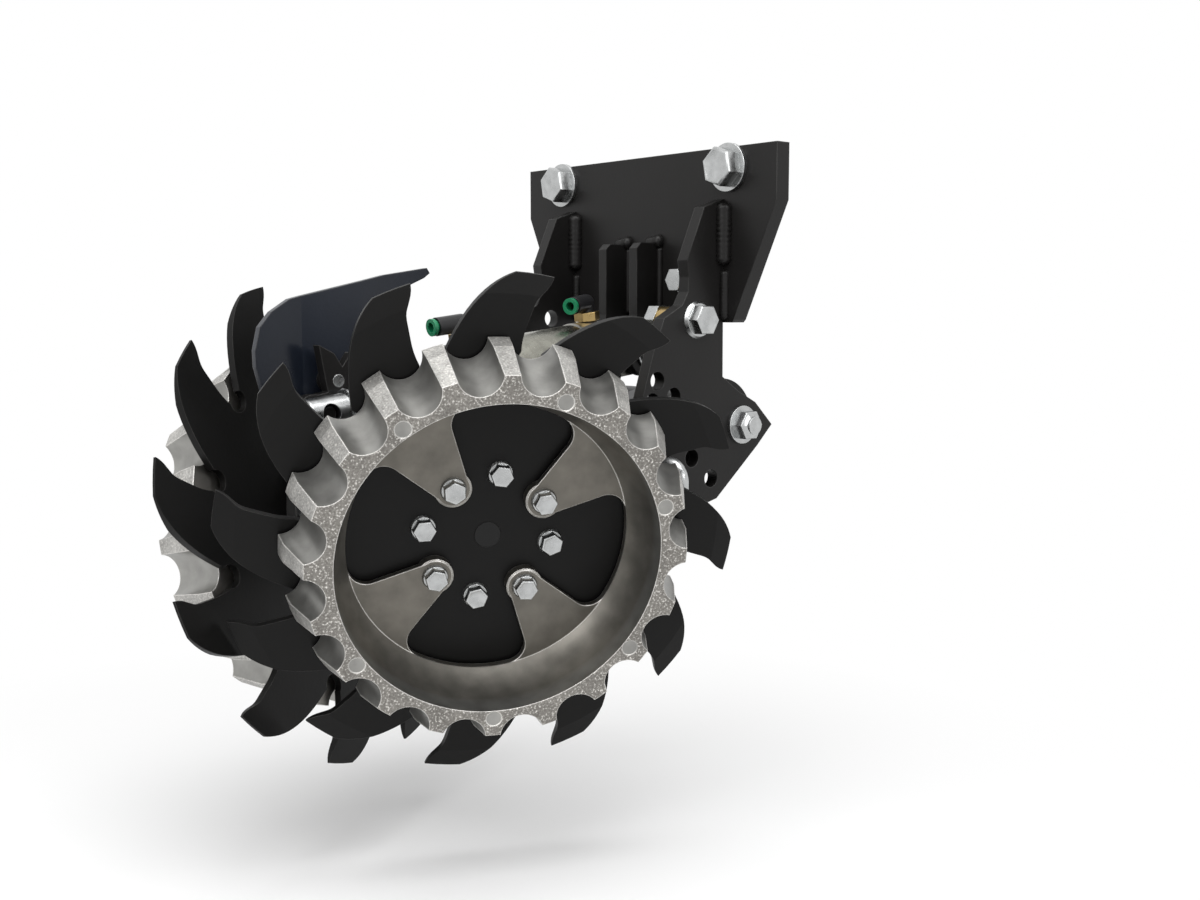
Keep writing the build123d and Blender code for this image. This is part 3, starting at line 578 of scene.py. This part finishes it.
# Toothed discs
# Plate steel with twelve swept teeth, their outer faces ground to a bevel, in semi-gloss black
# paint whose sharp edges are painted paler, partly as thin paint and partly as a painted
# highlight. A black plastic plug closes the middle hole.
blade_paint = grouped_material(
    "blade_black_paint",
    powder_coat,
    {
        "Color": (0.0062, 0.006, 0.0058, 1),
        "Worn Color": (0.09, 0.088, 0.084, 1),
        "Roughness": 0.3,
        "Radius": 0.0006,
    },
    Specular_IOR_Level=0.16,
)
moulding, asked, given = effect_group(
    "moulding", ["Color", "Roughness", "Radius"], ["Color", "Roughness", "Normal"]
)
normal, edge = rounded_edges(moulding, asked["Radius"])
handling = noise(moulding, 90, 4)
scuffed = scaled_color(moulding, asked["Color"], ramp(moulding, handling, -2.0, 0.8))
connect(moulding, scuffed, given["Color"])
handled_gloss = calc(moulding, "MULTIPLY_ADD", handling, 0.12, asked["Roughness"])
connect(moulding, handled_gloss, given["Roughness"])
connect(moulding, bumped(moulding, noise(moulding, 2200, 1), 0.1, 0.0001, normal), given["Normal"])

plug_plastic = grouped_material(
    "plug_plastic",
    moulding,
    {"Color": (0.008, 0.008, 0.008, 1), "Roughness": 0.4, "Radius": 0.0004},
    Specular_IOR_Level=0.25,
)
for side in ("left", "right"):
    finish_nodes(blade_paint, "black_blade", f"{side}_toothed_disc")
    finish_nodes(plug_plastic, "black_plug", f"{side}_disc_plug")

# Cast wheels
# Aluminium cast in sand, one each side: a ring of twenty lugs with round grooves between them, a
# smooth dish and four fingers. The flat front and the lugs keep the sand's grain, the grooves and
# the dish are smoother, and every edge is painted bright: partly rubbed wear, partly a painted
# highlight of the edge's rounding.
toe = math.radians(23.95)
camber = math.radians(13.16)
hands = {"left": 1, "right": -1}
wheel_centres = {"left": (0.1141, -0.2245, -0.2461), "right": (-0.1141, -0.2515, -0.2519)}


def wheel_axes(side):
    hand = hands[side]
    outward = Vector(
        (
            hand * math.cos(toe) * math.cos(camber),
            -math.sin(toe) * math.cos(camber),
            -math.sin(camber),
        )
    )
    level = Vector((hand * math.sin(toe), math.cos(toe), 0))
    return level, outward.cross(level), outward


sand_cast, asked, given = effect_group(
    "sand_cast", ["Center", "Axis"], ["Color", "Roughness", "Normal"]
)
spot = sand_cast.nodes.new("ShaderNodeTexCoord").outputs["Object"]
offset = vector_calc(sand_cast, "SUBTRACT", "Vector", spot, asked["Center"])
height = vector_calc(sand_cast, "DOT_PRODUCT", "Value", offset, asked["Axis"])
depth = calc(sand_cast, "MULTIPLY", height, -1.0)
along_axle = scaled_color(sand_cast, asked["Axis"], height)
radius = vector_calc(sand_cast, "DISTANCE", "Value", offset, along_axle)
front_cone = calc(sand_cast, "MULTIPLY_ADD", depth, 0.3276, 0.1155)
back_cone = calc(sand_cast, "MULTIPLY_ADD", depth, 0.148, 0.1207)
below_lug = calc(
    sand_cast, "SUBTRACT", calc(sand_cast, "MINIMUM", front_cone, back_cone), radius
)
lug_top = ramp(sand_cast, below_lug, 0.0011, 0.0005)
front_flat = ramp(sand_cast, depth, 0.00035, 0.0001)
back_flat = ramp(sand_cast, depth, 0.0422, 0.0424)
dish = ramp(sand_cast, radius, 0.0988, 0.098)
finger = calc(
    sand_cast,
    "MULTIPLY",
    ramp(sand_cast, radius, 0.0885, 0.0875),
    ramp(sand_cast, depth, 0.0368, 0.0375),
)
sandy = calc(
    sand_cast, "MAXIMUM", front_flat, calc(sand_cast, "MULTIPLY", lug_top, 0.7)
)
groove_color = (0.4, 0.395, 0.375, 1)
lug_color = (0.56, 0.55, 0.525, 1)
flat_color = (0.33, 0.315, 0.29, 1)
dish_color = (0.3, 0.285, 0.255, 1)
# The fingers have the same skin as the dish but are painted darker: painted shade of the recess.
finger_shaded_color = (0.2, 0.187, 0.163, 1)
zones = blend_colors(sand_cast, lug_top, groove_color, lug_color)
zones = blend_colors(sand_cast, front_flat, zones, flat_color)
zones = blend_colors(sand_cast, back_flat, zones, flat_color)
zones = blend_colors(sand_cast, dish, zones, dish_color)
zones = blend_colors(sand_cast, finger, zones, finger_shaded_color)
grains = noise(sand_cast, 780, 3)
skin = noise(sand_cast, 70, 5)
fine = noise(sand_cast, 1900, 2)
sparkle = ramp(sand_cast, grains, 0.56, 0.7)
pits = ramp(sand_cast, grains, 0.5, 0.34)
mottle = ramp(sand_cast, skin, -0.6, 0.85)
zones = scaled_color(sand_cast, zones, mottle)
speckled = blend_colors(
    sand_cast, calc(sand_cast, "MULTIPLY", sparkle, sandy), zones, (0.78, 0.76, 0.72, 1)
)
speckled = blend_colors(
    sand_cast,
    calc(sand_cast, "MULTIPLY", calc(sand_cast, "MULTIPLY", pits, sandy), 0.55),
    speckled,
    (0.12, 0.11, 0.1, 1),
)
normal, edge = rounded_edges(sand_cast, 0.0011)
# Edges are painted pale: partly rubbed wear and partly a painted highlight of their rounding.
rubbed_and_highlit_edge = calc(sand_cast, "MULTIPLY", edge, ramp(sand_cast, skin, 0.1, 0.5))
connect(
    sand_cast, blend_colors(sand_cast, rubbed_and_highlit_edge, speckled, (0.86, 0.845, 0.81, 1)), given["Color"]
)
grainy_gloss = calc(sand_cast, "MULTIPLY_ADD", sandy, 0.14, 0.3)
connect(
    sand_cast, calc(sand_cast, "MULTIPLY_ADD", skin, 0.14, grainy_gloss), given["Roughness"]
)
grain_height = calc(sand_cast, "MULTIPLY", grains, sandy)
skin_height = calc(sand_cast, "MULTIPLY_ADD", fine, 0.18, grain_height)
connect(sand_cast, bumped(sand_cast, skin_height, 0.55, 0.0006, normal), given["Normal"])

for side in hands:
    casting = grouped_material(
        f"{side}_cast_aluminium",
        sand_cast,
        {"Center": wheel_centres[side], "Axis": wheel_axes(side)[2]},
        Metallic=0.85,
    )
    finish_nodes(casting, "cast_aluminium", f"{side}_floater_wheel")

# Wheel bolts and nuts
# Flange bolts with hexagon heads and dished tops, zinc plated. Four long ones go through each
# wheel's fingers and four short ones hold the disc alone, all with nuts behind the hub's flange.
bolt_circle = 0.04075
finger_start = -35.4
short_start = 9.2
finger_face = 0.038
disc_depth = 0.045
nut_end = 0.065


def wheel_bolt_places(side, start, seat_depth):
    level, upward, outward = wheel_axes(side)
    turn = Matrix((level, upward, outward)).transposed().to_4x4()
    base = Matrix.Translation(wheel_centres[side]) @ turn
    places = []
    for number in range(4):
        angle = math.radians(hands[side] * (90 - start) + 90 * number)
        seat = (bolt_circle * math.cos(angle), bolt_circle * math.sin(angle), -seat_depth)
        twist = Matrix.Rotation(angle + 0.7 * number, 4, "Z")
        places.append(base @ Matrix.Translation(seat) @ twist)
    return places


for side in hands:
    for kind, start, seat_depth in (
        ("long", finger_start, finger_face),
        ("short", short_start, disc_depth),
    ):
        flange_bolt = bolt_head("flange_bolt", 0.0127, 0.0075, 0.0083, 0.0018, -0.0007)
        add_shank(flange_bolt, 0.004, seat_depth - nut_end, 0.0)
        flange_bolts = placed_copies(
            f"{side}_{kind}_flange_bolts",
            flange_bolt,
            wheel_bolt_places(side, start, seat_depth),
        )
        plated_piece(flange_bolts, f"{side}_wheel", f"{side}_{kind}_bolts")
    finish_nodes(zinc, "zinc", f"{side}_flange_nuts")

# Hubs, bearings and seals
# Dark cast iron hubs, each with a ball bearing pressed in from the back and a rubber seal that
# wipes on the spindle's shoulder.
cast_iron = grouped_material(
    "cast_iron",
    powder_coat,
    {
        "Color": (0.035, 0.034, 0.033, 1),
        "Worn Color": (0.16, 0.155, 0.15, 1),
        "Roughness": 0.45,
        "Radius": 0.0012,
    },
    Metallic=0.3,
)
bearing_steel = grouped_material(
    "bearing_steel",
    plating,
    {"Color": (0.5, 0.5, 0.5, 1), "Roughness": 0.12, "Radius": 0.0005},
    Metallic=1.0,
)
seal_rubber = grouped_material(
    "seal_rubber",
    moulding,
    {"Color": (0.014, 0.014, 0.014, 1), "Roughness": 0.6, "Radius": 0.0006},
    Specular_IOR_Level=0.3,
)
for side in hands:
    finish_nodes(cast_iron, "cast_iron", f"{side}_hub")
    finish_nodes(bearing_steel, "bearing_steel", f"{side}_bearing")
    finish_nodes(seal_rubber, "rubber_seal", f"{side}_hub_seal")

# Air cylinder
# A drawn stainless barrel rolled over two turned aluminium caps, with a chromed rod, its piston
# and a plated rod end that a wire clip keeps on its pin.
stainless = grouped_material(
    "stainless_tube",
    plating,
    {"Color": (0.36, 0.355, 0.31, 1), "Roughness": 0.14, "Radius": 0.0006},
    Metallic=1.0,
)
cap_aluminium = grouped_material(
    "cap_aluminium",
    plating,
    {"Color": (0.33, 0.325, 0.3, 1), "Roughness": 0.22, "Radius": 0.0006},
    Metallic=1.0,
)
chrome = grouped_material(
    "chromed_rod",
    plating,
    {"Color": (0.66, 0.66, 0.67, 1), "Roughness": 0.04, "Radius": 0.0004},
    Metallic=1.0,
)
finish_nodes(stainless, "stainless", "barrel_tube")
finish_nodes(cap_aluminium, "cap_aluminium", "rear_cap", "front_cap", "piston")
finish_nodes(chrome, "chromed_rod", "rod")
finish_nodes(zinc, "zinc", "rod_end", "jam_nut", "wire_clip")

# Air fittings
# Brass bases screwed into the caps, with black plastic elbows that swivel on them. A green collar
# in each elbow's mouth is pushed in to let go of the air tube.
elbow_plastic = grouped_material(
    "elbow_plastic",
    moulding,
    {"Color": (0.012, 0.012, 0.013, 1), "Roughness": 0.28, "Radius": 0.0006},
    Specular_IOR_Level=0.4,
)
collar_plastic = grouped_material(
    "collar_plastic",
    moulding,
    {"Color": (0.01, 0.22, 0.095, 1), "Roughness": 0.2, "Radius": 0.0004},
)
finish_nodes(brass, "brass", "port_bases")
finish_nodes(elbow_plastic, "black_plastic", "front_elbow", "rear_elbow")
finish_nodes(collar_plastic, "green_plastic", "front_collar", "rear_collar")
